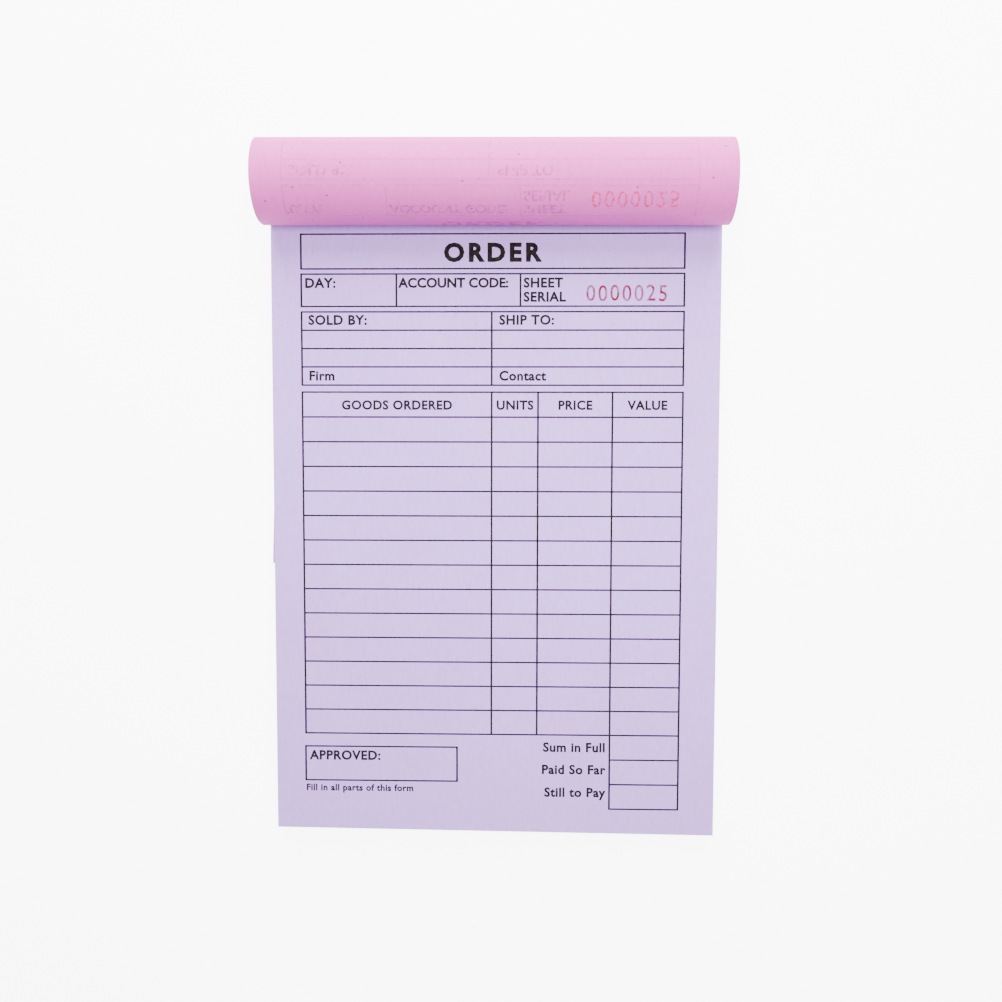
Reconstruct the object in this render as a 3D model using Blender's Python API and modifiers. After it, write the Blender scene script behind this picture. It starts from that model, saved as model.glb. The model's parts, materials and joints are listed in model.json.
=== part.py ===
"""Purchase order book: a top-bound pad of two-part form sets, with the used leaves turned over into a roll.

The page lies flat and faces up (+Z). +Y points at the bound edge. The table is z = 0 and the origin is
under the middle of the page. Metres.
"""
import math

import bmesh
import bpy
from mathutils import Matrix, Vector

MM = 0.001

# the leaf, cut in one go with the whole pad
LEAF_WIDTH = 145 * MM
LEAF_LENGTH = 212 * MM
TRIM_SKEW = 1.4 * MM  # the cut at the free end is out of square: the left side is shorter
SHEET = 0.08 * MM
AIR = 0.07 * MM  # between loose leaves
COVER = 0.25 * MM
BOARD = 0.8 * MM

# what the pad holds
SETS = 20
OPEN_SET = 4  # the set whose lavender copy is on top; earlier leaves are turned over

# binding along the top edge
TAPE = 0.15 * MM
TAPE_FLAP = 4.2 * MM
TAPE_ROUND = 0.5 * MM
GLUE = 0.3 * MM
WIRE = 0.5 * MM
STAPLE_WIDTH = 12 * MM
STAPLE_MARGIN = 27.5 * MM  # from a side edge to a staple's middle
STAPLE_INSET = 2.5 * MM  # from the top edge
CLINCH = 3.2 * MM
HOLE_CLEARANCE = 0.08 * MM

# the roll of turned leaves
ROLL_STUB = 4.6 * MM  # flat part of a turned leaf before it bends
ROLL_RADIUS = 12.7 * MM  # outside
ROLL_LEAN = 2.0 * MM  # how far the roll leans back from its first, tighter bend
REAR_TURN = math.radians(20)
FOOT_RADIUS = 6 * MM
ASKEW = 2.6 * MM  # how far one turned leaf has crept to the left at its free end
CREPT = (OPEN_SET - 1, "lavender")

# lines at which the open leaf and the turned leaves fold
PERFORATION = 11.5 * MM
BEND = 56.5 * MM
FOLD_GAP = 0.2 * MM

FRONT_STEPS = 8
ROLL_STEPS = 16
REAR_STEPS = 3
FOOT_STEPS = 6
HOLE_SIDES = 8

TOP = LEAF_LENGTH / 2
PITCH = SHEET + AIR

LAVENDER = (0.66, 0.60, 0.78, 1)
PINK = (0.86, 0.56, 0.74, 1)
CARD = (0.47, 0.42, 0.62, 1)
GREY = (0.42, 0.40, 0.38, 1)
CLOTH = (0.16, 0.17, 0.24, 1)
STEEL = (0.62, 0.63, 0.65, 1)
CREAM = (0.85, 0.80, 0.66, 1)
COPY_COLOUR = {"lavender": LAVENDER, "pink": PINK}


def clear_scene():
    for item in list(bpy.data.objects):
        bpy.data.objects.remove(item, do_unlink=True)


def material(name, colour, roughness, metallic=0.0):
    made = bpy.data.materials.new(name)
    made.use_nodes = True
    shader = made.node_tree.nodes["Principled BSDF"]
    shader.inputs["Base Color"].default_value = colour
    shader.inputs["Roughness"].default_value = roughness
    shader.inputs["Metallic"].default_value = metallic
    made.diffuse_color = colour
    return made


def add_object(name, data, colour, roughness=0.7, metallic=0.0, axis=None):
    """A named object. axis is the (y, z) of the line that it folds about, where its origin goes."""
    made = bpy.data.objects.new(name, data)
    bpy.context.scene.collection.objects.link(made)
    data.materials.append(material(name, colour, roughness, metallic))
    if axis:
        origin = Vector((0, *axis))
        data.transform(Matrix.Translation(-origin))
        made.location = origin
    return made


def guillotine(form, end):
    """Cuts the free end off as the pad was trimmed, out of square about its middle."""
    bmesh.ops.bisect_plane(form, geom=form.verts[:] + form.edges[:] + form.faces[:], clear_outer=True,
                           plane_co=(0, end, 0), plane_no=(-TRIM_SKEW, -LEAF_WIDTH, 0))


def sheet(name, section, thickness, colour, axis=None, free_end=None, creep=None):
    """One sheet whose middle surface runs through (y, z) points and spans the pad's width.

    A sheet with a free_end is trimmed there. creep is how far it has slid to the left at each point.
    """
    form = bmesh.new()
    chain = [form.verts.new((-LEAF_WIDTH / 2, y, z)) for y, z in section]
    if creep:
        for vert, slide in zip(chain, creep):
            vert.co.x -= slide
    for pair in zip(chain, chain[1:]):
        form.edges.new(pair)
    grown = bmesh.ops.extrude_edge_only(form, edges=form.edges[:])["geom"]
    bmesh.ops.translate(form, vec=(LEAF_WIDTH, 0, 0),
                        verts=[item for item in grown if isinstance(item, bmesh.types.BMVert)])
    if free_end is not None:
        guillotine(form, free_end)
    data = bpy.data.meshes.new(name)
    form.to_mesh(data)
    form.free()
    made = add_object(name, data, colour, axis=axis)
    solid = made.modifiers.new("thickness", "SOLIDIFY")
    solid.thickness = thickness
    solid.offset = 0
    solid.use_even_offset = True
    return made


def flat_sheet(name, start, end, middle, thickness, colour, axis=None, trim=False):
    """A level sheet from start to end along the pad, or trimmed at end."""
    reach = end - TRIM_SKEW if trim else end
    return sheet(name, [(start, middle), (reach, middle)], thickness, colour, axis,
                 free_end=end if trim else None)


def turned_section(inset):
    """Middle surface of a turned leaf that lies inset inside the roll's outside, up to the end of its foot.

    Returns its points and the length of leaf used up at each.
    """
    radius = ROLL_RADIUS - inset
    front = radius - ROLL_LEAN
    points = [(TOP, ROLL_Z - radius)]
    for step in range(FRONT_STEPS + 1):
        turn = math.pi / 2 * step / FRONT_STEPS
        points.append((ROLL_Y - ROLL_LEAN - front * math.sin(turn),
                       ROLL_Z - ROLL_LEAN - front * math.cos(turn)))
    for step in range(ROLL_STEPS + 1):
        turn = math.pi / 2 + math.pi * step / ROLL_STEPS
        points.append((ROLL_Y - radius * math.sin(turn), ROLL_Z - radius * math.cos(turn)))
    for step in range(1, REAR_STEPS + 1):
        turn = REAR_TURN * step / REAR_STEPS
        points.append((REAR_Y + (REAR_RADIUS - inset) * math.cos(turn),
                       ROLL_Z - (REAR_RADIUS - inset) * math.sin(turn)))
    for step in range(1, FOOT_STEPS + 1):
        turn = REAR_TURN + (math.pi / 2 - REAR_TURN) * step / FOOT_STEPS
        points.append((FOOT_Y + (FOOT_RADIUS - inset) * math.cos(turn),
                       FOOT_RADIUS - (FOOT_RADIUS - inset) * math.sin(turn)))
    used = [0.0]
    for a, b in zip(points, points[1:]):
        used.append(used[-1] + math.dist(a, b))
    return points, used


def turned_leaf(name, inset, thickness, colour, fold, creep=0.0):
    """A leaf that is turned over: its roll, and its tail, which folds out from under the pad."""
    middle = inset + thickness / 2
    points, used = turned_section(middle)
    slides = [creep * length / LEAF_LENGTH for length in used]
    roll = sheet(f"{name}_roll", points, thickness, colour, creep=slides)
    start = FOOT_Y - FOLD_GAP
    end = FOOT_Y - (LEAF_LENGTH - used[-1])
    tail = sheet(f"{name}_tail", [(start, middle), (end - TRIM_SKEW, middle)], thickness, colour,
                 axis=FOLD_AXIS, free_end=end, creep=[slides[-1], creep])
    tail.parent = fold
    tail.location = (0, 0, 0)
    return roll


def staple_holes():
    """The cutter for the staples' legs, in a collection of its own."""
    form = bmesh.new()
    low, high = -WIRE, CLINCH_Z + WIRE
    for x in LEG_X:
        bmesh.ops.create_cone(form, cap_ends=True, segments=HOLE_SIDES, depth=high - low,
                              radius1=HOLE_RADIUS, radius2=HOLE_RADIUS,
                              matrix=Matrix.Translation((x, STAPLE_Y, (low + high) / 2)))
    data = bpy.data.meshes.new("staple_holes")
    form.to_mesh(data)
    form.free()
    cutter = bpy.data.objects.new("staple_holes", data)
    cutters = bpy.data.collections.new("cutters")
    bpy.context.scene.collection.children.link(cutters)
    cutters.objects.link(cutter)
    cutter.hide_render = True
    cutter.display_type = "WIRE"
    return cutter


def pierce(made, cutter):
    cut = made.modifiers.new("staple holes", "BOOLEAN")
    cut.operation = "DIFFERENCE"
    cut.solver = "EXACT"
    cut.object = cutter


def staple(name, middle):
    """A wire staple: crown under the pad, legs up through it, ends clinched inward on the front."""
    side = STAPLE_WIDTH / 2
    corner = WIRE
    half = [(side - corner, CROWN_Z), (side - 0.3 * corner, CROWN_Z + 0.3 * corner),
            (side, CROWN_Z + corner),
            (side, CLINCH_Z - corner), (side - 0.3 * corner, CLINCH_Z - 0.3 * corner),
            (side - corner, CLINCH_Z), (side - CLINCH, CLINCH_Z)]
    path = [(-x, z) for x, z in half[::-1]] + half
    data = bpy.data.curves.new(name, "CURVE")
    data.dimensions = "3D"
    data.bevel_depth = WIRE / 2
    data.bevel_resolution = 1
    data.use_fill_caps = True
    spline = data.splines.new("POLY")
    spline.points.add(len(path) - 1)
    for point, (x, z) in zip(spline.points, path):
        point.co = (middle + x, STAPLE_Y, z, 1)
    return add_object(name, data, STEEL, 0.3, 1.0)


def block(name, low, high, colour, roughness=0.7):
    form = bmesh.new()
    size = Vector(high) - Vector(low)
    place = Matrix.Translation((Vector(low) + Vector(high)) / 2) @ Matrix.Diagonal((*size, 1))
    bmesh.ops.create_cube(form, size=1, matrix=place)
    data = bpy.data.meshes.new(name)
    form.to_mesh(data)
    form.free()
    return add_object(name, data, colour, roughness)


def tape_section():
    """Middle line of the tape: back flap, round the top edge, front flap."""
    back, front = TAPE_BACK_Z + TAPE / 2, TAPE_FRONT_Z + TAPE / 2
    spine = TOP + AIR + GLUE + AIR + TAPE / 2
    points = [(TOP - TAPE_FLAP, back)]
    for step in range(4):
        turn = math.pi / 2 * step / 3
        points.append((spine - TAPE_ROUND + TAPE_ROUND * math.sin(turn),
                       back + TAPE_ROUND - TAPE_ROUND * math.cos(turn)))
    for step in range(4):
        turn = math.pi / 2 * step / 3
        points.append((spine - TAPE_ROUND + TAPE_ROUND * math.cos(turn),
                       front - TAPE_ROUND + TAPE_ROUND * math.sin(turn)))
    points.append((TOP - TAPE_FLAP, front))
    return points


# the turned leaves from the outside of the roll to its inside, then the cover
TURNED = [(OPEN_SET, "pink")]
for number in range(OPEN_SET - 1, 0, -1):
    TURNED += [(number, "lavender"), (number, "pink")]
COVER_INSET = len(TURNED) * PITCH

# heights from the table up
CROWN_Z = COVER_INSET + COVER + AIR + WIRE / 2
TAPE_BACK_Z = CROWN_Z + WIRE / 2 + AIR
BOARD_Z = TAPE_BACK_Z + TAPE + AIR
PAD_Z = BOARD_Z + BOARD + AIR
PAGE_Z = PAD_Z + 2 * (SETS - OPEN_SET) * PITCH
ROLL_Z = PAGE_Z + PITCH + ROLL_RADIUS
TAPE_FRONT_Z = PAGE_Z + PITCH + COVER_INSET + COVER + AIR
CLINCH_Z = TAPE_FRONT_Z + TAPE + AIR + WIRE / 2

# places along the pad
ROLL_Y = TOP - ROLL_STUB + ROLL_LEAN
REAR_RADIUS = (ROLL_Z - FOOT_RADIUS * (1 - math.sin(REAR_TURN))) / math.sin(REAR_TURN)
REAR_Y = ROLL_Y + ROLL_RADIUS - REAR_RADIUS
FOOT_Y = REAR_Y + (REAR_RADIUS - FOOT_RADIUS) * math.cos(REAR_TURN)
STAPLE_Y = TOP - STAPLE_INSET
FOLD_AXIS = (FOOT_Y - FOLD_GAP / 2, 0.0)
HOLE_RADIUS = (WIRE / 2 + HOLE_CLEARANCE) / math.cos(math.pi / HOLE_SIDES)
STAPLE_X = LEAF_WIDTH / 2 - STAPLE_MARGIN
LEG_X = [middle + side for middle in (-STAPLE_X, STAPLE_X)
         for side in (-STAPLE_WIDTH / 2, STAPLE_WIDTH / 2)]


def main():
    clear_scene()
    holes = staple_holes()
    low_end = TOP - LEAF_LENGTH
    pierced = []

    pierced.append(flat_sheet("back_board", TOP, low_end, BOARD_Z + BOARD / 2, BOARD, GREY, trim=True))
    pierced.append(sheet("spine_tape", tape_section(), TAPE, CLOTH))
    block("spine_glue", (-LEAF_WIDTH / 2, TOP + AIR, PAD_Z),
          (LEAF_WIDTH / 2, TOP + AIR + GLUE, TAPE_FRONT_Z - AIR - COVER), CREAM)
    staple("staple_left", -STAPLE_X)
    staple("staple_right", STAPLE_X)

    middle = PAD_Z + SHEET / 2
    for number in range(SETS, OPEN_SET, -1):
        for copy in ("lavender", "pink"):
            pierced.append(flat_sheet(f"leaf_{number:02d}_{copy}", TOP, low_end, middle, SHEET,
                                      COPY_COLOUR[copy], trim=True))
            middle += PITCH

    page = f"leaf_{OPEN_SET:02d}_lavender"
    face = middle + SHEET / 2
    tear, bend = TOP - PERFORATION, TOP - BEND
    pierced.append(flat_sheet(f"{page}_stub", TOP, tear + FOLD_GAP / 2, middle, SHEET, LAVENDER))
    upper = flat_sheet(f"{page}_upper", tear - FOLD_GAP / 2, bend + FOLD_GAP / 2, middle, SHEET, LAVENDER,
                       axis=(tear, face))
    lower = flat_sheet(f"{page}_lower", bend - FOLD_GAP / 2, low_end, middle, SHEET, LAVENDER,
                       axis=(bend, face), trim=True)
    lower.parent = upper
    lower.location = (0, bend - tear, 0)

    fold = bpy.data.objects.new("fold_axis", None)
    bpy.context.scene.collection.objects.link(fold)
    fold.location = (0, *FOLD_AXIS)
    for place, (number, copy) in enumerate(TURNED):
        creep = ASKEW if (number, copy) == CREPT else 0.0
        pierced.append(turned_leaf(f"leaf_{number:02d}_{copy}", place * PITCH, SHEET, COPY_COLOUR[copy],
                                   fold, creep))
    pierced.append(turned_leaf("front_cover", COVER_INSET, COVER, CARD, fold))

    for made in pierced:
        pierce(made, holes)


main()
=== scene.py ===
"""Looks of the purchase order book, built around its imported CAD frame.

Laid out as an add-on and run as a script. Metres, in the frame's axes: +X to the page's right, +Y towards the
bound edge, +Z up out of the page. A leaf and its print are modelled flat, in the leaf's own frame: the top edge
is y = 0, the leaf runs down -y and its printed side is up. They are then laid on the pad, or turned over along
the line that a turned leaf follows.
"""
import json
import math
from contextlib import contextmanager

import bmesh
import bpy
from bpy.props import FloatProperty, FloatVectorProperty, IntProperty, PointerProperty
from bpy.types import Operator, Panel, PropertyGroup
from mathutils import Matrix, Vector


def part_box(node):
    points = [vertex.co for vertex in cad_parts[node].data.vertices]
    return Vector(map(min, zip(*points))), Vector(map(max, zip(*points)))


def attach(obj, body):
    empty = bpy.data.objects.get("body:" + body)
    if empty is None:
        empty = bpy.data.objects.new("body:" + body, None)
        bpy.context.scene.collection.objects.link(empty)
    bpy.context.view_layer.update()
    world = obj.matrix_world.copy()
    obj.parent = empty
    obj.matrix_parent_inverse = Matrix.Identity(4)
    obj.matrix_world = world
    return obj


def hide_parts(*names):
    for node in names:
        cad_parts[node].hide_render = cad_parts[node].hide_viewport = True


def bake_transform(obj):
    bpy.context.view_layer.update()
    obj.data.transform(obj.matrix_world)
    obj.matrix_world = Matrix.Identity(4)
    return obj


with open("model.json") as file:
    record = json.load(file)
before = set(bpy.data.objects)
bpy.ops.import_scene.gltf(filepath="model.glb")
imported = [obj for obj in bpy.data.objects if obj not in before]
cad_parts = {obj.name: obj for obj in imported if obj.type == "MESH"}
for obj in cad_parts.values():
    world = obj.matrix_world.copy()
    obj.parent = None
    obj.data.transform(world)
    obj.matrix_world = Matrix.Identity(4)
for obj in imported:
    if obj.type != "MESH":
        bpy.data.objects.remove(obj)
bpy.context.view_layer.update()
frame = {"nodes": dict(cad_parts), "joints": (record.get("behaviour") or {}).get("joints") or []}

bl_info = {
    "name": "Purchase order book",
    "version": (1, 0, 0),
    "blender": (4, 5, 0),
    "location": "View3D > Sidebar > Order Book",
    "description": "Dresses the packed frame of a top-bound order pad with paper, print and binding",
    "category": "Object",
}

MM = 0.001

# what the frame says: the open leaf, the roll of turned leaves and the lines that leaves fold about
STUB_LOW, STUB_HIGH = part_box("leaf_04_lavender_stub")
PAGE_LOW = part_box("leaf_04_lavender_lower")[0]
NEXT_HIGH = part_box("leaf_05_pink")[1]
ROLL_LOW, ROLL_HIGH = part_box("leaf_04_pink_roll")
OUTER_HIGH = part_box("leaf_04_pink_tail")[1]
SECOND_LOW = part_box("leaf_03_lavender_tail")[0]
JOINT_Y = {joint["name"]: joint["pos_m"][1] for joint in frame["joints"]}

HALF_WIDTH = STUB_HIGH.x
TOP_Y = STUB_HIGH.y
FACE_Z = STUB_HIGH.z
SHEET = STUB_HIGH.z - STUB_LOW.z
AIR = SECOND_LOW.z - OUTER_HIGH.z
TRIM_SKEW = 1.4 * MM  # the free end is cut out of square: the left side is shorter
LEAF_LENGTH = TOP_Y - PAGE_LOW.y - TRIM_SKEW / 2

# the line of a turned leaf: round the roll, down behind the pad and under it
ROLL_STUB = 4.6 * MM
REAR_TURN = math.radians(20)
FOOT_RADIUS = 6 * MM
ROLL_RADIUS = (ROLL_HIGH.z - FACE_Z - AIR) / 2
ROLL_Z = ROLL_HIGH.z - ROLL_RADIUS
FRONT_RADIUS = TOP_Y - ROLL_STUB - ROLL_LOW.y
REAR_RADIUS = (ROLL_Z - FOOT_RADIUS * (1 - math.sin(REAR_TURN))) / math.sin(REAR_TURN)
LONGEST_ARC = math.pi / 4  # for one stretch of the curve
CURVE_STEPS = 32

# how far along a leaf the folds and pieces go
PERFORATION = TOP_Y - JOINT_Y["page_lift"]
PAGE_SPLIT = 39.5 * MM  # between the second and third boxes of the form
ROW = 0.7 * MM  # between the cross cuts that let paper and print bend
ROLL_TURN = 0.62 * MM  # how much further back the roll's left end sits
LENGTHWISE = 0.9  # the least share of an edge's direction, for one that runs down the leaf
SMOOTH_ANGLE = math.radians(40)

TURNED = ["leaf_04_pink", "leaf_03_lavender", "leaf_03_pink", "leaf_02_lavender", "leaf_02_pink",
          "leaf_01_lavender", "leaf_01_pink", "front_cover"]
UNUSED_SETS = range(5, 21)

# paper and cloth
PAPER_GLOSS = 0.22
FELT = 1.1 * MM
SPECK_SPACING = 5.0 * MM  # in all three directions, so that few lie on the paper's face
SPECK_RADIUS = 0.42 * MM
SPECK_CORE = 0.6  # the share of the radius that is fully dark
WEAVE_SCALE = 397.9  # of a wave whose bands are 0.8 mm apart

# the printed form: x from the middle of the leaf, depth from its top edge
INK = 0.02 * MM
DENSITY = "print density"  # the attribute that mark_density writes
LINE_DENSITY = 0.45
LINE_ACROSS = 0.52 * MM
LINE_DOWN = 0.62 * MM
FORM_LEFT = -62.75 * MM
FORM_RIGHT = 60.7 * MM
TITLE_BOX = (15.7 * MM, 26.75 * MM)
TITLE_BASE = 24.3 * MM
ISSUE_BOX = (28.4 * MM, 38.75 * MM)
ISSUE_COLUMNS = (-31.9 * MM, 8.15 * MM)
ISSUE_BASES = (32.7 * MM, 37.2 * MM)
PARTY_TOP = 40.5 * MM
PARTY_ROW = 5.89 * MM
PARTY_ROWS = 4
TABLE_TOP = 66.32 * MM
TABLE_ROW = 8.06 * MM
TABLE_ROWS = 14
TABLE_COLUMNS = (-1.07 * MM, 13.96 * MM, 38.03 * MM)
TOTAL_ROW = 8.3 * MM
TOTAL_ROWS = 3
SIGN_BOX = (-62.85 * MM, -12.45 * MM, 183.6 * MM, 195.1 * MM)

# words in the form: base lines below the line over them, the totals' below the table, and how far the words
# are in from the line beside them
PARTY_BASE = 4.05 * MM
LAST_PARTY_BASE = 4.3 * MM
TABLE_BASE = 5.55 * MM
TOTAL_BASES = (5.6 * MM, 13.1 * MM, 20.8 * MM)
SIGN_BASE = 4.45 * MM
NOTE_BASE = 3.5 * MM
ISSUE_INSETS = (1.1 * MM, 0.8 * MM, 1.0 * MM)
PARTY_INSETS = (2.2 * MM, 2.4 * MM)
SIGN_INSET = 1.4 * MM
TOTAL_INSET = 1.4 * MM

# lettering: the height of a capital, and the share of the font's size that a capital takes
TITLE_CAPITAL = 5.5 * MM
LABEL_CAPITAL = 2.95 * MM
HEADING_CAPITAL = 0.95 * LABEL_CAPITAL
NOTE_CAPITAL = 2.1 * MM
SERIAL_CAPITAL = 5.1 * MM
CAPITAL_SHARE = 0.69
LETTER_STEPS = 3

# how far strokes are widened, as a share of the font's size, and how far letters are spaced
LIGHT = 0.006
MEDIUM = 0.036
BOLD = 0.045
CLOSE = 1.0
REGULAR = 1.08
WIDE = 1.3

# the running number, from the wheels of a numbering machine
SERIAL_PITCH = 3.86 * MM
SERIAL_NARROWING = 0.87
SERIAL_PLACE = (29.15 * MM, 37.1 * MM)
WHEEL_DROP = 0.1 * MM
WHEEL_SWING = 2.3  # radians from wheel to wheel

# the perforated line
SLIT_PITCH = 1.5 * MM
SLIT_LENGTH = 1.0 * MM
SLIT_WIDTH = 0.12 * MM
SLIT_MARGIN = 0.4 * MM

# worn print, and the number where it shows through: how bright its red is, and how strong beside the form
WORN_INK = (0.12, 0.12, 0.10)
SHOWN_RED = 3.0
SHOWN_NUMBER = 2.2

# the stage: two sheets under the object, and soft boxes, each with its middle, the place that it points at,
# and its width and depth
FLOOR_SIZE = 6
FLOOR_DROP = 0.2 * MM
FLOOR_GLOW = 7.0
BOUNCE_DROP = 1.0 * MM
BOUNCE_GLOW = 3.0
BACK_BOX = ((0.0, 0.42, 0.26), (0.0, 0.03, 0.0), (0.40, 0.56))
TOP_BOX = ((0.06, 0.06, 0.36), (0.06, 0.06, 0.0), (0.30, 0.10))
NEAREST = 10 * MM  # that the camera sees


# the shader maths


class Value:
    """A number that a node gives out. Arithmetic with it adds Math nodes."""

    def __init__(self, finish, socket):
        self.finish = finish
        self.socket = socket

    def math(self, operation, first, second):
        return self.finish.node("ShaderNodeMath", {"operation": operation}, {0: first, 1: second})

    def __add__(self, other):
        return self.math("ADD", self, other)

    def __radd__(self, other):
        return self.math("ADD", other, self)

    def __sub__(self, other):
        return self.math("SUBTRACT", self, other)

    def __rsub__(self, other):
        return self.math("SUBTRACT", other, self)

    def __mul__(self, other):
        return self.math("MULTIPLY", self, other)

    def __rmul__(self, other):
        return self.math("MULTIPLY", other, self)


class Finish:
    """A material whose Principled shader is fed by nodes."""

    def __init__(self, name, constants):
        material = bpy.data.materials.new(name)
        material.use_nodes = True
        self.tree = material.node_tree
        self.shader = self.tree.nodes["Principled BSDF"]
        for socket, value in constants.items():
            self.shader.inputs[socket].default_value = value
        self.place = self.node("ShaderNodeTexCoord", output="Object")

    def node(self, kind, settings=None, inputs=None, output=0):
        """Adds any node: its settings first, then the values or links of its sockets."""
        made = self.tree.nodes.new(kind)
        for name, value in (settings or {}).items():
            setattr(made, name, value)
        for name, value in (inputs or {}).items():
            self.feed(made.inputs[name], value)
        return Value(self, made.outputs[output])

    def feed(self, socket, value):
        if isinstance(value, Value):
            self.tree.links.new(value.socket, socket)
        else:
            socket.default_value = value

    def surface(self, **sockets):
        """Links to the shader, by the socket's name with underscores."""
        for name, value in sockets.items():
            self.feed(self.shader.inputs[name.replace("_", " ")], value)

    def stretched(self, scale):
        return self.node("ShaderNodeMapping", None, {"Vector": self.place, "Scale": scale})

    def noise(self, size, detail=2.0, place=None):
        """Noise with features of that size."""
        return self.node("ShaderNodeTexNoise", None,
                         {"Vector": place or self.place, "Scale": 1 / size, "Detail": detail})

    def mix(self, share, first, second):
        """From one colour to another."""
        return self.node("ShaderNodeMix", {"data_type": "RGBA"}, {0: share, 6: first, 7: second}, output=2)

    def window(self, value, low, high):
        """0 below low, 1 above high."""
        return self.node("ShaderNodeMapRange", None, {0: value, 1: low, 2: high})

    def bump(self, height, strength, depth):
        made = self.node("ShaderNodeBump", None, {"Height": height, "Strength": strength, "Distance": depth})
        self.surface(Normal=made)


def shade(colour, share):
    """The colour made darker or lighter, as a node takes it."""
    return (*[min(1.0, part * share) for part in colour], 1.0)


# the finishes


def paper_finish(name, colour, speck, dark):
    """Uncoated copy paper: cloudy, with a fine felt grain and a few specks, dark to that share."""
    finish = Finish(name, {"Specular IOR Level": PAPER_GLOSS})
    cloud = finish.noise(22 * MM)
    felt = finish.noise(FELT, 4.0, finish.stretched((1.0, 0.35, 1.0)))
    grain = finish.noise(0.16 * MM, 3.0)
    tone = 0.25 * cloud + 0.45 * felt + 0.3 * grain
    ground = finish.mix(finish.window(tone, 0.3, 0.7), shade(colour, 0.88), shade(colour, 1.11))
    dots = finish.node("ShaderNodeTexVoronoi", None, {"Vector": finish.place, "Scale": 1 / SPECK_SPACING})
    edge = SPECK_RADIUS / SPECK_SPACING
    mask = 1 - finish.window(dots, SPECK_CORE * edge, edge)
    finish.surface(Base_Color=finish.mix(dark * mask, ground, (*speck, 1.0)),
                   Roughness=0.7 + 0.2 * felt)
    finish.bump(0.6 * grain + 0.4 * felt, 0.35, 0.03 * MM)


def ink_finish(name, colour, worn, wear, patch):
    """Matt printing ink, thin in patches of that size."""
    finish = Finish(name, {"Specular IOR Level": 0.04})
    blot = finish.noise(patch, 3.0)
    grain = finish.noise(0.12 * MM, 2.0)
    thin = finish.window(0.7 * blot + 0.3 * grain, 0.42, 0.66)
    finish.surface(Base_Color=finish.mix(wear * thin, (*colour, 1.0), (*worn, 1.0)),
                   Roughness=0.65 + 0.3 * grain)
    finish.bump(grain, 0.25, 0.01 * MM)


def show_through_finish(name, ground, faint, patch):
    """Print seen through the paper: in patches, and fainter where the print is less dense."""
    finish = Finish(name, {"Specular IOR Level": PAPER_GLOSS})
    density = finish.node("ShaderNodeAttribute", {"attribute_name": DENSITY}, output="Fac")
    seen = finish.window(finish.noise(patch, 3.0), 0.36, 0.6)
    felt = finish.noise(FELT, 4.0)
    finish.surface(Base_Color=finish.mix(density * seen, (*ground, 1.0), (*faint, 1.0)),
                   Roughness=0.7 + 0.2 * felt)
    finish.bump(felt, 0.3, 0.02 * MM)


def slit_shade_finish(name, colour):
    """Painted shade in a cut through the paper, broken by the fluff in it."""
    finish = Finish(name, {"Specular IOR Level": 0.1})
    fluff = finish.noise(0.2 * MM, 3.0)
    finish.surface(Base_Color=finish.mix(fluff, shade(colour, 0.25), shade(colour, 0.6)),
                   Roughness=0.8 + 0.15 * fluff)
    finish.bump(fluff, 0.5, 0.03 * MM)


def card_finish(name, colour):
    """Dyed cover card, calendered on its face."""
    finish = Finish(name, {"Specular IOR Level": 0.35})
    cloud = finish.noise(14 * MM, 3.0)
    felt = finish.noise(0.8 * MM, 4.0, finish.stretched((1.0, 0.4, 1.0)))
    finish.surface(Base_Color=finish.mix(0.5 * cloud + 0.5 * felt, shade(colour, 0.88), shade(colour, 1.1)),
                   Roughness=0.5 + 0.2 * felt)
    finish.bump(felt, 0.3, 0.05 * MM)


def board_finish(name, colour):
    """Grey recycled board with pale and dark fibres."""
    finish = Finish(name, {"Specular IOR Level": 0.2})
    cloud = finish.noise(6 * MM, 4.0)
    pale = finish.window(finish.noise(0.9 * MM, 3.0, finish.stretched((1.0, 0.3, 1.0))), 0.6, 0.72)
    dark = finish.window(finish.noise(0.7 * MM, 3.0, finish.stretched((0.35, 1.0, 1.0))), 0.62, 0.72)
    ground = finish.mix(cloud, shade(colour, 0.85), shade(colour, 1.15))
    flecked = finish.mix(0.5 * pale, ground, shade(colour, 1.7))
    finish.surface(Base_Color=finish.mix(0.6 * dark, flecked, shade(colour, 0.4)), Roughness=0.8 + 0.12 * cloud)
    finish.bump(cloud + 0.3 * pale, 0.4, 0.08 * MM)


def cloth_finish(name, colour):
    """Book cloth tape: a plain weave of threads 0.8 mm apart."""
    finish = Finish(name, {"Specular IOR Level": 0.25, "Sheen Weight": 0.25})
    round_edge = finish.stretched((0.0, math.sqrt(3), math.sqrt(3)))  # so that the bands go on over the spine
    across = finish.node("ShaderNodeTexWave", {"bands_direction": "X", "wave_profile": "SIN"},
                         {"Vector": finish.place, "Scale": WEAVE_SCALE, "Distortion": 0.4})
    along = finish.node("ShaderNodeTexWave", {"bands_direction": "DIAGONAL", "wave_profile": "SIN"},
                        {"Vector": round_edge, "Scale": WEAVE_SCALE, "Distortion": 0.4})
    weave = across * along
    slub = finish.noise(1.5 * MM, 3.0)
    finish.surface(Base_Color=finish.mix(0.7 * weave + 0.3 * slub, shade(colour, 0.55), shade(colour, 1.4)),
                   Roughness=0.75 + 0.15 * slub)
    finish.bump(weave, 0.6, 0.08 * MM)


def glue_finish(name, colour):
    """Dried padding glue, brushed on."""
    finish = Finish(name, {"Specular IOR Level": 0.45})
    streak = finish.noise(0.8 * MM, 3.0, finish.stretched((0.15, 1.0, 1.0)))
    lump = finish.noise(3 * MM, 2.0)
    finish.surface(Base_Color=finish.mix(0.5 * streak + 0.5 * lump, shade(colour, 0.82), shade(colour, 1.08)),
                   Roughness=0.35 + 0.25 * streak)
    finish.bump(streak + lump, 0.5, 0.1 * MM)


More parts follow.
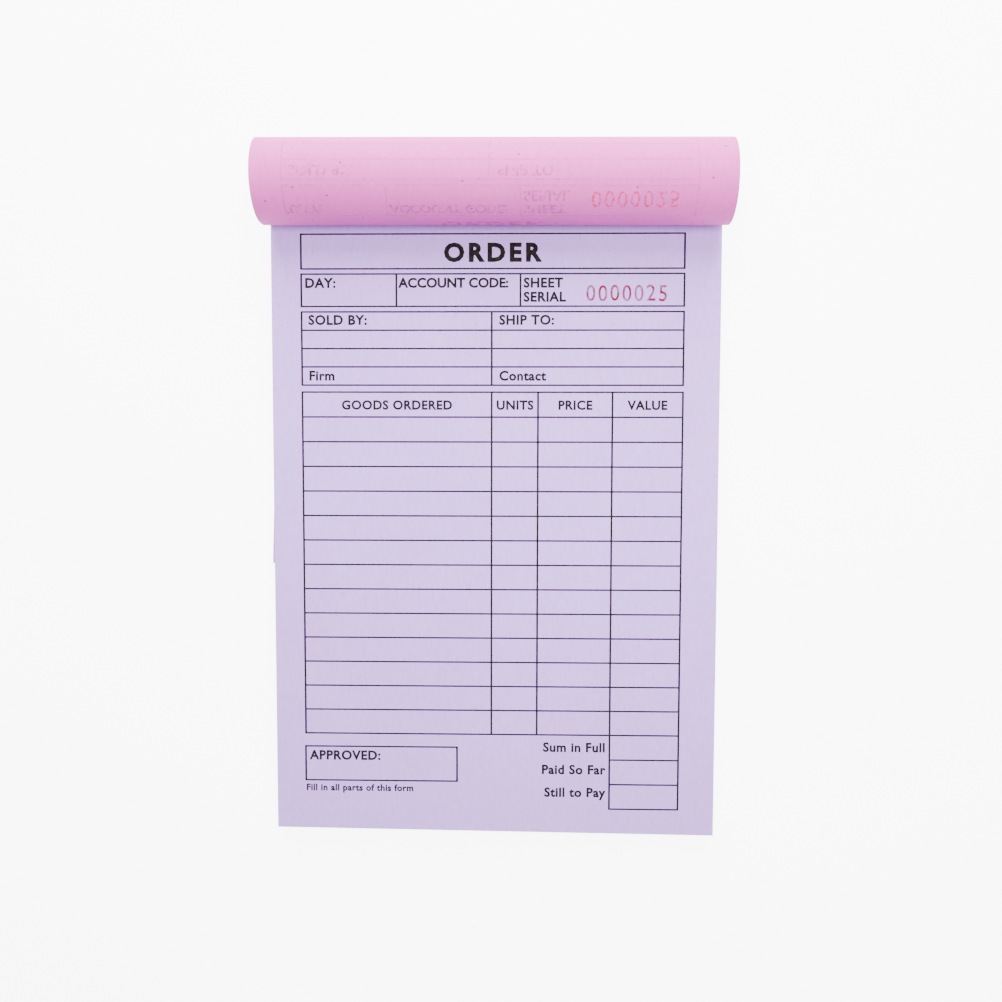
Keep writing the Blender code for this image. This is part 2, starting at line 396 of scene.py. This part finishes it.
def steel_finish(name, colour):
    """Drawn wire, scratched along its length."""
    finish = Finish(name, {"Metallic": 1.0})
    scratch = finish.noise(0.15 * MM, 2.0, finish.stretched((0.05, 1.0, 1.0)))
    dull = finish.noise(1.2 * MM, 3.0)
    finish.surface(Base_Color=finish.mix(dull, shade(colour, 0.8), shade(colour, 1.05)),
                   Roughness=0.25 + 0.2 * scratch)
    finish.bump(scratch, 0.2, 0.01 * MM)


def floor_finish(name, colour, glow):
    """Matt white acrylic of a light table, lit from below."""
    finish = Finish(name, {"Specular IOR Level": 0.1, "Emission Color": (1.0, 1.0, 1.0, 1.0),
                           "Emission Strength": glow})
    cloud = finish.noise(90 * MM, 2.0)
    grain = finish.noise(1.5 * MM, 2.0)
    finish.surface(Base_Color=finish.mix(cloud, shade(colour, 0.99), shade(colour, 1.01)),
                   Roughness=0.85 + 0.1 * grain)


# working by hand


def only(piece):
    """Selects this object alone."""
    bpy.ops.object.select_all(action="DESELECT")
    piece.select_set(True)
    bpy.context.view_layer.objects.active = piece


@contextmanager
def editing(piece, kind="EDGE"):
    only(piece)
    bpy.ops.object.mode_set(mode="EDIT")
    bpy.ops.mesh.select_mode(type=kind)
    yield
    bpy.ops.object.mode_set(mode="OBJECT")


def pick_lengthwise(piece):
    """Selects, in edit mode, the edges that run down the leaf."""
    bpy.ops.mesh.select_all(action="DESELECT")
    form = bmesh.from_edit_mesh(piece.data)
    for edge in form.edges:
        direction = (edge.verts[1].co - edge.verts[0].co).normalized()
        if abs(direction.y) > LENGTHWISE:
            edge.select_set(True)
    bmesh.update_edit_mesh(piece.data)


def pick_verts(piece, test):
    """Selects, in edit mode, the corners whose place passes the test."""
    bpy.ops.mesh.select_all(action="DESELECT")
    form = bmesh.from_edit_mesh(piece.data)
    for vert in form.verts:
        if test(vert.co):
            vert.select_set(True)
    bmesh.update_edit_mesh(piece.data)


def place(piece, matrix):
    """Puts the piece there, with the place in its mesh."""
    only(piece)
    piece.matrix_world = matrix
    bpy.ops.object.transform_apply(location=True, rotation=True, scale=True)


def apply_modifier(piece, kind, **settings):
    only(piece)
    made = piece.modifiers.new(kind.lower(), kind)
    for name, value in settings.items():
        setattr(made, name, value)
    bpy.ops.object.modifier_apply(modifier=made.name)


def finish_with(piece, finish):
    """Gives the piece the material of that name alone."""
    piece.data.materials.clear()
    piece.data.materials.append(bpy.data.materials[finish])


def copy_of(piece, name):
    made = piece.copy()
    made.data = piece.data.copy()
    made.name = name
    bpy.context.scene.collection.objects.link(made)
    return made


def join(pieces, name):
    """Makes one object of several, with its place in its mesh."""
    bpy.ops.object.select_all(action="DESELECT")
    for piece in pieces:
        piece.select_set(True)
    made = pieces[0]
    bpy.context.view_layer.objects.active = made
    bpy.ops.object.join()
    bpy.ops.object.transform_apply(location=True, rotation=True, scale=True)
    made.name = name
    return made


def cut_rows(piece, start, end):
    """Cross cuts every ROW between two depths, so that the piece can bend."""
    with editing(piece):
        for number in range(math.floor(start / ROW) + 1, math.ceil(end / ROW)):
            bpy.ops.mesh.select_all(action="SELECT")
            bpy.ops.mesh.bisect(plane_co=(0, -number * ROW, 0), plane_no=(0, 1, 0))


def keep_between(piece, start, end):
    """Cuts away what lies outside two depths, and closes the cuts."""
    with editing(piece):
        for depth, normal in ((start, (0, 1, 0)), (end, (0, -1, 0))):
            bpy.ops.mesh.select_all(action="SELECT")
            bpy.ops.mesh.bisect(plane_co=(0, -depth, 0), plane_no=normal, clear_outer=True, use_fill=True)


# paper


def flat_leaf(name, start, end, thickness=SHEET, creep=0.0):
    """A leaf, or part of one, between two depths. One that reaches the free end is trimmed as the pad is."""
    trimmed = end >= LEAF_LENGTH
    reach = end + TRIM_SKEW if trimmed else end
    bpy.ops.object.select_all(action="DESELECT")
    bpy.ops.mesh.primitive_plane_add(size=1, location=(0, -(start + reach) / 2, 0))
    leaf = bpy.context.object
    leaf.name = name
    leaf.scale = (2 * HALF_WIDTH, reach - start, 1)
    place(leaf, leaf.matrix_basis)
    with editing(leaf, "VERT"):
        if trimmed:
            bpy.ops.mesh.select_all(action="SELECT")
            bpy.ops.mesh.bisect(plane_co=(0, -end, 0), plane_no=(-TRIM_SKEW, -2 * HALF_WIDTH, 0),
                                clear_outer=True)
        bpy.ops.mesh.select_mode(type="EDGE")
        for _ in range(2):  # in two goes, as the tool makes a hundred cuts at most
            pick_lengthwise(leaf)
            bpy.ops.mesh.subdivide(number_cuts=round(math.sqrt((end - start) / ROW)))
        if creep:
            pick_verts(leaf, lambda co: co.y < TRIM_SKEW - end)
            bpy.ops.transform.translate(value=(-creep, 0, 0), use_proportional_edit=True,
                                        proportional_edit_falloff="SHARP", proportional_size=end - start)
    apply_modifier(leaf, "SOLIDIFY", thickness=thickness, offset=0)
    return leaf


def lay(piece, height):
    """Lays what is modelled flat on the pad, its z = 0 at that height."""
    place(piece, Matrix.Translation((0, TOP_Y, height)))


def turned_lengths(inset):
    """Stretches of the line of a turned leaf: (length, 0) is straight and (radius, turn) an arc."""
    return [(ROLL_STUB, 0.0), (FRONT_RADIUS - inset, math.pi / 2), (ROLL_RADIUS - FRONT_RADIUS, 0.0),
            (ROLL_RADIUS - inset, math.pi), (REAR_RADIUS - inset, REAR_TURN),
            (FOOT_RADIUS - inset, math.pi / 2 - REAR_TURN), (LEAF_LENGTH, 0.0)]


def roll_depth(inset):
    """How much of a leaf goes round the roll, as far as the roll's rear."""
    return sum(size * turn if turn else size for size, turn in turned_lengths(inset)[:4])


def turned_line(inset):
    """The line of a turned leaf as a flat curve, whose x and y stand for the frame's y and z."""
    spot = Vector((TOP_Y, ROLL_Z - ROLL_RADIUS + inset))
    heading = Vector((-1.0, 0.0))
    knots = [[spot, heading, 0.0, 0.0]]
    for size, turn in turned_lengths(inset):
        parts = max(1, math.ceil(turn / LONGEST_ARC))
        for _ in range(parts):
            handle = 4 / 3 * math.tan(turn / parts / 4) * size if turn else size / 3
            knots[-1][3] = handle
            if turn:
                swing = Matrix.Rotation(-turn / parts, 2)
                arm = Vector((-heading.y, heading.x)) * size
                spot = spot - arm + swing @ arm
                heading = swing @ heading
            else:
                spot = spot + heading * size
            knots.append([spot, heading, handle, 0.0])
    data = bpy.data.curves.new("turned line", "CURVE")
    data.dimensions = "2D"
    data.resolution_u = CURVE_STEPS
    spline = data.splines.new("BEZIER")
    spline.bezier_points.add(len(knots) - 1)
    for point, (spot, heading, before, after) in zip(spline.bezier_points, knots):
        point.handle_left_type = point.handle_right_type = "FREE"
        point.co = (*spot, 0)
        point.handle_left = (*(spot - heading * before), 0)
        point.handle_right = (*(spot + heading * after), 0)
    line = bpy.data.objects.new("turned line", data)
    bpy.context.scene.collection.objects.link(line)
    return line


# from a leaf's own frame to the curve's, and from the curve's to the pad's
TO_LINE = Matrix(((0, -1, 0, 0), (0, 0, -1, 0), (1, 0, 0, 0), (0, 0, 0, 1)))
FROM_LINE = Matrix(((0, 0, 1, 0), (1, 0, 0, 0), (0, 1, 0, 0), (0, 0, 0, 1)))


def turn_over(piece, line):
    """Bends what is modelled flat along the line of a turned leaf, with the roll a little askew."""
    place(piece, TO_LINE)
    apply_modifier(piece, "CURVE", object=line, deform_axis="POS_X")
    place(piece, FROM_LINE)
    for vert in piece.data.vertices:
        high = min(1.0, max(0.0, (vert.co.z - FACE_Z) / (ROLL_Z - FACE_Z)))
        far_left = (HALF_WIDTH - vert.co.x) / (2 * HALF_WIDTH)
        vert.co.y += ROLL_TURN * far_left * high * high * (3 - 2 * high)


def follow_page(piece):
    """Bakes the place of a piece of the open leaf into its mesh."""
    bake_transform(piece)


def follow_tail(piece):
    """Bakes the place of a tail piece into its mesh. A tail runs from the roll's rear down under the pad and
    lies on the table.
    """
    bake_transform(piece)


# print


def mark_density(piece, share):
    """Notes how dense the print is, for where it shows through."""
    layer = piece.data.attributes.new(DENSITY, "FLOAT", "POINT")
    layer.data.foreach_set("value", [share] * len(piece.data.vertices))


def strip(left, right, top, bottom):
    """A ruled line, cut across where it runs down the leaf."""
    bpy.ops.object.select_all(action="DESELECT")
    bpy.ops.mesh.primitive_cube_add(size=1, location=((left + right) / 2, -(top + bottom) / 2, INK / 2))
    made = bpy.context.object
    made.scale = (right - left, bottom - top, INK)
    place(made, made.matrix_basis)
    cuts = math.ceil((bottom - top) / ROW) - 1
    if cuts:
        with editing(made):
            pick_lengthwise(made)
            bpy.ops.mesh.subdivide(number_cuts=cuts)
    mark_density(made, LINE_DENSITY)
    return made


def across(left, right, depth):
    return strip(left - LINE_DOWN / 2, right + LINE_DOWN / 2,
                 depth - LINE_ACROSS / 2, depth + LINE_ACROSS / 2)


def down(x, top, bottom):
    return strip(x - LINE_DOWN / 2, x + LINE_DOWN / 2, top + LINE_ACROSS / 2, bottom - LINE_ACROSS / 2)


def ruled_box(left, right, rows, columns=(), open_top=False):
    """A box ruled across at each depth in rows, and down at each column."""
    lines = [across(left, right, depth) for depth in rows[int(open_top):]]
    for x in (left, *columns, right):
        lines += [down(x, top, bottom) for top, bottom in zip(rows, rows[1:])]
    return lines


def word(text, x, depth, capital, align="LEFT", spacing=REGULAR, bold=MEDIUM, narrowing=1.0):
    """Lettering on a base line at that depth, as a thin solid."""
    bpy.ops.object.select_all(action="DESELECT")
    bpy.ops.object.text_add(location=(x, -depth, INK / 2))
    made = bpy.context.object
    made.data.body = text
    made.data.size = capital / CAPITAL_SHARE
    made.data.align_x = align
    made.data.space_character = spacing
    made.data.offset = bold * made.data.size
    made.data.extrude = INK / 2
    made.data.resolution_u = LETTER_STEPS
    made.scale.x = narrowing
    bpy.ops.object.convert(target="MESH")
    made = bpy.context.object
    place(made, made.matrix_basis)
    with editing(made, "VERT"):
        bpy.ops.mesh.select_all(action="SELECT")
        bpy.ops.mesh.remove_doubles(threshold=INK / 20)
    cut_rows(made, depth - capital, depth)
    mark_density(made, 1.0)
    return made


def form_head(name):
    """The title box and the row of boxes under it."""
    first, second = ISSUE_BASES
    day, code, sheet = (edge + inset for edge, inset in zip((FORM_LEFT, *ISSUE_COLUMNS), ISSUE_INSETS))
    pieces = ruled_box(FORM_LEFT, FORM_RIGHT, TITLE_BOX)
    pieces += ruled_box(FORM_LEFT, FORM_RIGHT, ISSUE_BOX, ISSUE_COLUMNS)
    pieces += [word("ORDER", (FORM_LEFT + FORM_RIGHT) / 2, TITLE_BASE, TITLE_CAPITAL, "CENTER", WIDE, BOLD),
               word("DAY:", day, first, LABEL_CAPITAL),
               word("ACCOUNT CODE:", code, first, LABEL_CAPITAL, spacing=CLOSE),
               word("SHEET", sheet, first, LABEL_CAPITAL),
               word("SERIAL", sheet, second, LABEL_CAPITAL)]
    return join(pieces, name)


def form_body(name):
    """The boxes for the two parties, the table of items, the totals and the place to sign."""
    party = [PARTY_TOP + PARTY_ROW * number for number in range(PARTY_ROWS + 1)]
    table = [TABLE_TOP + TABLE_ROW * number for number in range(TABLE_ROWS + 1)]
    totals = [table[-1] + TOTAL_ROW * number for number in range(TOTAL_ROWS + 1)]
    sign_left, sign_right, sign_top, sign_bottom = SIGN_BOX
    halfway = TABLE_COLUMNS[0]
    columns = (FORM_LEFT, *TABLE_COLUMNS, FORM_RIGHT)

    pieces = ruled_box(FORM_LEFT, FORM_RIGHT, party, [halfway])
    pieces += ruled_box(FORM_LEFT, FORM_RIGHT, table, TABLE_COLUMNS)
    pieces += ruled_box(TABLE_COLUMNS[-1], FORM_RIGHT, totals, open_top=True)
    pieces += ruled_box(sign_left, sign_right, [sign_top, sign_bottom])

    left, right = FORM_LEFT + PARTY_INSETS[0], halfway + PARTY_INSETS[1]
    pieces += [word("SOLD BY:", left, party[0] + PARTY_BASE, LABEL_CAPITAL),
               word("SHIP TO:", right, party[0] + PARTY_BASE, LABEL_CAPITAL),
               word("Firm", left, party[-2] + LAST_PARTY_BASE, LABEL_CAPITAL),
               word("Contact", right, party[-2] + LAST_PARTY_BASE, LABEL_CAPITAL)]
    for text, edges in zip(("GOODS ORDERED", "UNITS", "PRICE", "VALUE"), zip(columns, columns[1:])):
        pieces.append(word(text, sum(edges) / 2, table[0] + TABLE_BASE, HEADING_CAPITAL, "CENTER"))
    pieces += [word("APPROVED:", sign_left + SIGN_INSET, sign_top + SIGN_BASE, LABEL_CAPITAL),
               word("Fill in all parts of this form", sign_left, sign_bottom + NOTE_BASE, NOTE_CAPITAL)]
    for text, base in zip(("Sum in Full", "Paid So Far", "Still to Pay"), TOTAL_BASES):
        pieces.append(word(text, columns[-2] - TOTAL_INSET, table[-1] + base, LABEL_CAPITAL, "RIGHT"))
    return join(pieces, name)


def serial_number(name, number):
    """A running number, whose wheels sit a little off the line."""
    left, depth = SERIAL_PLACE
    digits = []
    for wheel, digit in enumerate(f"{number:07d}"):
        drop = WHEEL_DROP * math.sin(WHEEL_SWING * wheel + number)
        digits.append(word(digit, left + SERIAL_PITCH * wheel, depth + drop, SERIAL_CAPITAL,
                           bold=LIGHT, narrowing=SERIAL_NARROWING))
    return join(digits, name)


def perforation(name):
    """A row of slits across the leaf, where it tears off its stub."""
    left = -HALF_WIDTH + SLIT_MARGIN
    row = strip(left, left + SLIT_LENGTH, PERFORATION - SLIT_WIDTH / 2, PERFORATION + SLIT_WIDTH / 2)
    row.name = name
    apply_modifier(row, "ARRAY", count=math.floor((2 * HALF_WIDTH - SLIT_LENGTH) / SLIT_PITCH),
                   use_relative_offset=False, use_constant_offset=True,
                   constant_offset_displace=(SLIT_PITCH, 0, 0))
    return row


# what a user would change


class ORDERBOOK_PG_paper(PropertyGroup):
    """Colours of the paper, board and binding."""

    lavender: FloatVectorProperty(name="Lavender copy", description="Colour of the lavender leaves",
                                  subtype="COLOR", min=0, max=1, default=(0.56, 0.33, 0.88))
    pink: FloatVectorProperty(name="Pink copy", description="Colour of the pink leaves",
                              subtype="COLOR", min=0, max=1, default=(0.70, 0.098, 0.46))
    speck: FloatVectorProperty(name="Specks", description="Colour of the specks in the paper",
                               subtype="COLOR", min=0, max=1, default=(0.14, 0.045, 0.09))
    card: FloatVectorProperty(name="Cover card", description="Colour of the front cover",
                              subtype="COLOR", min=0, max=1, default=(0.42, 0.36, 0.60))
    board: FloatVectorProperty(name="Back board", description="Colour of the back board",
                               subtype="COLOR", min=0, max=1, default=(0.40, 0.38, 0.35))
    cloth: FloatVectorProperty(name="Spine cloth", description="Colour of the spine tape",
                               subtype="COLOR", min=0, max=1, default=(0.08, 0.09, 0.16))
    glue: FloatVectorProperty(name="Padding glue", description="Colour of the glue on the top edge",
                              subtype="COLOR", min=0, max=1, default=(0.78, 0.70, 0.52))
    steel: FloatVectorProperty(name="Staple wire", description="Colour of the staples",
                               subtype="COLOR", min=0, max=1, default=(0.60, 0.61, 0.63))


class ORDERBOOK_PG_print(PropertyGroup):
    """The print on the leaves."""

    ink: FloatVectorProperty(name="Ink", description="Colour of the form",
                             subtype="COLOR", min=0, max=1, default=(0.008, 0.0075, 0.006))
    red: FloatVectorProperty(name="Number ink", description="Colour of the running number",
                             subtype="COLOR", min=0, max=1, default=(0.17, 0.003, 0.002))
    number: IntProperty(name="Running number", description="Number of the set that lies open",
                        min=0, default=25)
    show_through: FloatProperty(name="Show-through", description="How dark the form shows on a leaf's back",
                                subtype="FACTOR", min=0, max=1, default=0.34)


class ORDERBOOK_PG_stage(PropertyGroup):
    """Camera, light and floor."""

    eye: FloatVectorProperty(name="Camera", description="Place of the camera over the table",
                             subtype="TRANSLATION", unit="LENGTH",
                             default=(9.57 * MM, 24.74 * MM, 320.753 * MM + FACE_Z))
    tilt: FloatVectorProperty(name="Camera turn", description="How far the camera turns from straight down",
                              subtype="EULER", unit="ROTATION",
                              default=[math.radians(turn) for turn in (-3.634, 1.357, 0.106)])
    lens: FloatProperty(name="Lens", description="Focal length", unit="CAMERA", default=35.39)
    floor: FloatVectorProperty(name="Floor", description="Colour of the floor",
                               subtype="COLOR", min=0, max=1, default=(0.90, 0.90, 0.90))
    back: FloatProperty(name="Back box", description="Power of the soft box behind the pad", unit="POWER",
                        default=9.1)
    top: FloatProperty(name="Top box", description="Power of the soft box over the pad", unit="POWER",
                       default=1.95)
    sky: FloatProperty(name="Room light", description="Strength of the light from all around", default=0.65)


# one operator for each group of pieces


class ORDERBOOK_OT_finishes(Operator):
    """Make the materials that the pieces share"""

    bl_idname = "orderbook.finishes"
    bl_label = "Finishes"

    def execute(self, context):
        paper, ink = context.scene.orderbook_paper, context.scene.orderbook_print
        paper_finish("lavender paper", paper.lavender, paper.speck, dark=0.2)
        paper_finish("pink paper", paper.pink, paper.speck, dark=0.8)
        card_finish("cover card", paper.card)
        board_finish("grey board", paper.board)
        cloth_finish("spine cloth", paper.cloth)
        glue_finish("padding glue", paper.glue)
        steel_finish("staple steel", paper.steel)
        ink_finish("form ink", ink.ink, worn=WORN_INK, wear=0.14, patch=1.3 * MM)
        ink_finish("number ink", ink.red, worn=paper.lavender, wear=0.45, patch=2.2 * MM)
        red = Vector(shade(ink.red, SHOWN_RED)[:3])
        for copy in ("lavender", "pink"):
            ground = Vector(getattr(paper, copy))
            form = ground.lerp(Vector(ink.ink), ink.show_through)
            show_through_finish(f"{copy} show-through", ground, form, patch=1.6 * MM)
            number = ground.lerp(red, SHOWN_NUMBER * ink.show_through)
            show_through_finish(f"{copy} number show-through", ground, number, patch=0.7 * MM)
            # the slits' dark is painted shade in the cuts
            slit_shade_finish(f"{copy} slits", ground)
        return {"FINISHED"}


class ORDERBOOK_OT_open_page(Operator):
    """Lay the open lavender leaf flat on the pad, in two pieces"""

    bl_idname = "orderbook.open_page"
    bl_label = "Open page"

    def execute(self, context):
        pieces = (("open_page_head", 0.0, PAGE_SPLIT, False, ("stub", "upper")),
                  ("open_page_body", PAGE_SPLIT, LEAF_LENGTH, True, ("lower",)))
        for name, start, end, lower, nodes in pieces:
            page = flat_leaf(name, start, end)
            lay(page, FACE_Z - SHEET / 2)
            finish_with(page, "lavender paper")
            follow_page(page)
            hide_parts(*[f"leaf_04_lavender_{node}" for node in nodes])
        return {"FINISHED"}


class ORDERBOOK_OT_turned_leaves(Operator):
    """Turn the used leaves and the front cover over the bound edge: a roll each, and a tail under the pad"""

    bl_idname = "orderbook.turned_leaves"
    bl_label = "Turned leaves"

    def execute(self, context):
        for leaf in TURNED:
            low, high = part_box(f"{leaf}_tail")
            thickness = high.z - low.z
            inset = low.z + thickness / 2
            creep = max(0.0, -HALF_WIDTH - low.x)
            rear = roll_depth(inset)
            line = turned_line(inset)
            finish = "cover card" if leaf == "front_cover" else f"{leaf.split('_')[-1]} paper"
            for part, start, end in (("roll", 0.0, rear), ("tail", rear, LEAF_LENGTH)):
                piece = flat_leaf(f"turned_{leaf}_{part}", start, end, thickness,
                                  creep if part == "tail" else 0.0)
                turn_over(piece, line)
                only(piece)
                bpy.ops.object.shade_smooth_by_angle(angle=SMOOTH_ANGLE)
                finish_with(piece, finish)
                if part == "roll":
                    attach(piece, "pad")
                else:
                    follow_tail(piece)
                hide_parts(f"{leaf}_{part}")
            bpy.data.objects.remove(line)
        return {"FINISHED"}


class ORDERBOOK_OT_form(Operator):
    """Print the form and its running number on the open page, on the copy under it and through the roll"""

    bl_idname = "orderbook.form"
    bl_label = "Form"

    def execute(self, context):
        number = context.scene.orderbook_print.number
        head, body = form_head("form head"), form_body("form body")
        serial, following = serial_number("serial", number), serial_number("next serial", number + 1)
        slits = perforation("slits")

        for source, name, lower, finish in ((head, "page_form_head", False, "form ink"),
                                            (body, "page_form_body", True, "form ink"),
                                            (serial, "page_number", False, "number ink"),
                                            (slits, "page_perforation", False, "lavender slits")):
            piece = copy_of(source, name)
            lay(piece, FACE_Z)
            finish_with(piece, finish)
            follow_page(piece)

        for source, name, lower, finish in (
                (head, "back_form_head", False, "lavender show-through"),
                (body, "back_form_body", True, "lavender show-through"),
                (serial, "back_number", False, "lavender number show-through")):
            piece = copy_of(source, name)
            lay(piece, FACE_Z - SHEET - INK)
            finish_with(piece, finish)
            follow_page(piece)

        for source, name, finish in ((head, "next_form_head", "form ink"), (body, "next_form_body", "form ink"),
                                     (following, "next_number", "number ink"),
                                     (slits, "next_perforation", "pink slits")):
            piece = copy_of(source, name)
            lay(piece, NEXT_HIGH.z)
            finish_with(piece, finish)
            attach(piece, "pad")

        rear = roll_depth(SHEET / 2)
        line = turned_line(SHEET / 2)
        for source, name, start, end, finish in (
                (head, "roll_form_head", 0.0, PAGE_SPLIT, "pink show-through"),
                (body, "roll_form_body", PAGE_SPLIT, rear, "pink show-through"),
                (serial, "roll_number", 0.0, PAGE_SPLIT, "pink number show-through"),
                (slits, "roll_perforation", 0.0, PAGE_SPLIT, "pink slits"),
                (body, "tail_form_body", rear, LEAF_LENGTH, "pink show-through")):
            piece = copy_of(source, name)
            if source is body:
                keep_between(piece, start, end)
            place(piece, Matrix.Translation((0, 0, -SHEET / 2 - INK)))
            turn_over(piece, line)
            finish_with(piece, finish)
            if start < rear:
                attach(piece, "pad")
            else:
                follow_tail(piece)
        for spare in (head, body, serial, following, slits, line):
            bpy.data.objects.remove(spare)
        return {"FINISHED"}


class ORDERBOOK_OT_pad(Operator):
    """Finish the unused leaves, the back board and the binding, whose shapes are the frame's own"""

    bl_idname = "orderbook.pad"
    bl_label = "Pad and binding"

    def execute(self, context):
        finishes = {f"leaf_{number:02d}_{copy}": f"{copy} paper" for number in UNUSED_SETS
                    for copy in ("lavender", "pink")}
        finishes |= {"back_board": "grey board", "spine_tape": "spine cloth", "spine_glue": "padding glue",
                     "staple_left": "staple steel", "staple_right": "staple steel"}
        for node, finish in finishes.items():
            finish_with(frame["nodes"][node], finish)
        return {"FINISHED"}


class ORDERBOOK_OT_stage(Operator):
    """Set the floor, the light and the camera"""

    bl_idname = "orderbook.stage"
    bl_label = "Stage"

    def execute(self, context):
        stage = context.scene.orderbook_stage
        bpy.ops.object.select_all(action="DESELECT")
        for name, drop, glow in (("floor", FLOOR_DROP, FLOOR_GLOW), ("bounce card", BOUNCE_DROP, BOUNCE_GLOW)):
            bpy.ops.mesh.primitive_plane_add(size=FLOOR_SIZE, location=(0, 0, -drop))
            sheet = bpy.context.object
            sheet.name = name
            floor_finish(f"{name} acrylic", stage.floor, glow)
            finish_with(sheet, f"{name} acrylic")
        bpy.data.objects["floor"].visible_diffuse = False  # the dimmer card under it gives the light from below
        bpy.data.objects["bounce card"].visible_camera = False

        for name, box, power in (("back box", BACK_BOX, stage.back), ("top box", TOP_BOX, stage.top)):
            spot, aim, size = box
            turn = (Vector(aim) - Vector(spot)).to_track_quat("-Z", "Y").to_euler()
            bpy.ops.object.light_add(type="AREA", location=spot, rotation=turn)
            lamp = bpy.context.object
            lamp.name = name
            lamp.data.energy = power
            lamp.data.shape = "RECTANGLE"
            lamp.data.size, lamp.data.size_y = size
            lamp.visible_camera = False

        world = bpy.data.worlds.new("white room")
        world.use_nodes = True
        room = world.node_tree.nodes["Background"]
        room.inputs["Color"].default_value = (1.0, 1.0, 1.0, 1.0)
        room.inputs["Strength"].default_value = stage.sky
        context.scene.world = world

        bpy.ops.object.camera_add(location=stage.eye, rotation=stage.tilt)
        camera = bpy.context.object
        camera.data.lens = stage.lens
        camera.data.clip_start = NEAREST
        context.scene.camera = camera
        return {"FINISHED"}


class ORDERBOOK_PT_panel(Panel):
    """The pieces of the order book and what can be changed on them"""

    bl_idname = "ORDERBOOK_PT_panel"
    bl_label = "Order Book"
    bl_space_type = "VIEW_3D"
    bl_region_type = "UI"
    bl_category = "Order Book"

    def draw(self, context):
        for group in (context.scene.orderbook_paper, context.scene.orderbook_print,
                      context.scene.orderbook_stage):
            box = self.layout.box()
            for name in group.__annotations__:
                box.prop(group, name)
        for step in STEPS:
            self.layout.operator(step.bl_idname)


STEPS = (ORDERBOOK_OT_finishes, ORDERBOOK_OT_open_page, ORDERBOOK_OT_turned_leaves, ORDERBOOK_OT_form,
         ORDERBOOK_OT_pad, ORDERBOOK_OT_stage)
GROUPS = {"orderbook_paper": ORDERBOOK_PG_paper, "orderbook_print": ORDERBOOK_PG_print,
          "orderbook_stage": ORDERBOOK_PG_stage}


def register():
    for kind in (*GROUPS.values(), *STEPS, ORDERBOOK_PT_panel):
        bpy.utils.register_class(kind)
    for name, group in GROUPS.items():
        setattr(bpy.types.Scene, name, PointerProperty(type=group))


def unregister():
    for name in GROUPS:
        delattr(bpy.types.Scene, name)
    for kind in reversed((*GROUPS.values(), *STEPS, ORDERBOOK_PT_panel)):
        bpy.utils.unregister_class(kind)


def main():
    register()
    bpy.ops.orderbook.finishes()
    bpy.ops.orderbook.open_page()
    bpy.ops.orderbook.turned_leaves()
    bpy.ops.orderbook.form()
    bpy.ops.orderbook.pad()
    bpy.ops.orderbook.stage()


if __name__ == "__main__":
    main()
